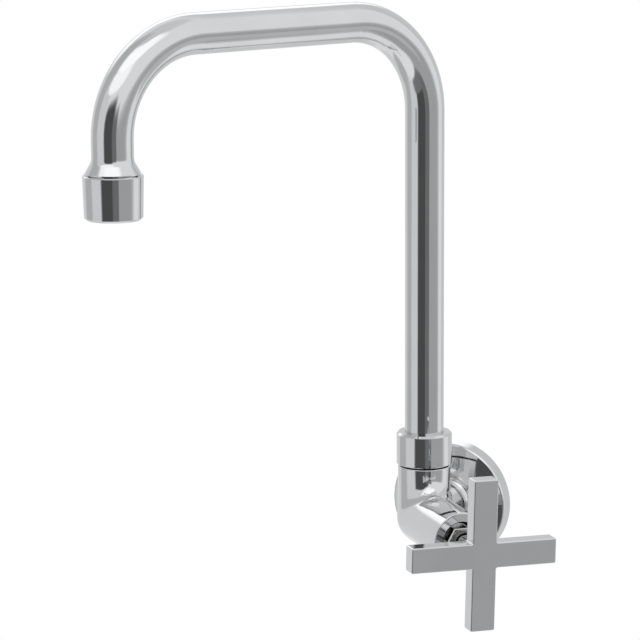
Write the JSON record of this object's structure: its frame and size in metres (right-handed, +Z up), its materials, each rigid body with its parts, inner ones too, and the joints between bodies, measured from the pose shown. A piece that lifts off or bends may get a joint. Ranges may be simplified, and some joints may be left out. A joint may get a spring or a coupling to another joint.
{
  "type": "wall-mounted kitchen tap",
  "caption": "Wall-mounted cold tap: upright body on a round rosette, tall squared swivel spout with a flared aerator, and a flat cross handle on a slanted valve.",
  "frame": {"origin": "on the inlet axis, in the plane of the wall", "axes": "+Y into the wall along the inlet, +Z up along the spout's riser, +X to the right as seen from the room"},
  "size_m": [0.1764, 0.2226, 0.2916],
  "materials": {
    "body_chrome": "polished chrome on brass",
    "rosette_chrome": "polished chrome on pressed brass",
    "nut_chrome": "polished chrome on brass",
    "spout_chrome": "polished chrome on brass tube",
    "fitting_chrome": "polished chrome on brass",
    "shell_chrome": "polished chrome on brass",
    "stem_chrome": "polished chrome on brass",
    "cross_chrome": "polished chrome on brass",
    "headwork_metal": "turned brass, nickel flash",
    "brass": "turned brass",
    "spring_steel": "plain stainless steel",
    "steel_wire": "woven stainless wire",
    "rubber": "matt black rubber",
    "acetal": "plain white plastic",
    "insert_plastic": "moulded grey plastic",
    "ceramic": "lapped ceramic"
  },
  "bodies": {
    "tap": {"tap_body": "body_chrome", "rosette": "rosette_chrome", "spout_nut": "nut_chrome", "thrust_washer": "acetal", "split_bush": "acetal", "headwork_housing": "headwork_metal", "headwork_o_ring": "rubber", "seat_seal": "rubber", "fixed_disc": "ceramic"},
    "spout": {"spout_tube": "spout_chrome", "spout_ferrule": "brass", "spout_o_rings": "rubber", "end_fitting": "fitting_chrome", "aerator_shell": "shell_chrome", "aerator_gasket": "rubber", "aerator_insert": "insert_plastic", "aerator_filter": "steel_wire", "outlet_mesh": "steel_wire"},
    "handle": {"cross_handle": "cross_chrome", "handle_stem": "stem_chrome", "spline_sleeve": "acetal", "grub_screw": "spring_steel", "spindle": "headwork_metal", "spindle_o_rings": "rubber", "spindle_clip": "spring_steel", "moving_disc": "ceramic"}
  },
  "joints": [
    {"name": "spout_swivel", "type": "hinge", "parent": "tap", "child": "spout", "pos_m": [0, -0.0375, 0], "axis": [0, 0, 1], "range_deg": [-67.5, 122.5]},
    {"name": "handle_turn", "type": "hinge", "parent": "tap", "child": "handle", "pos_m": [0, -0.0375, 0], "axis": [0.7071, -0.7071, 0], "range_deg": [0, 90]}
  ]
}
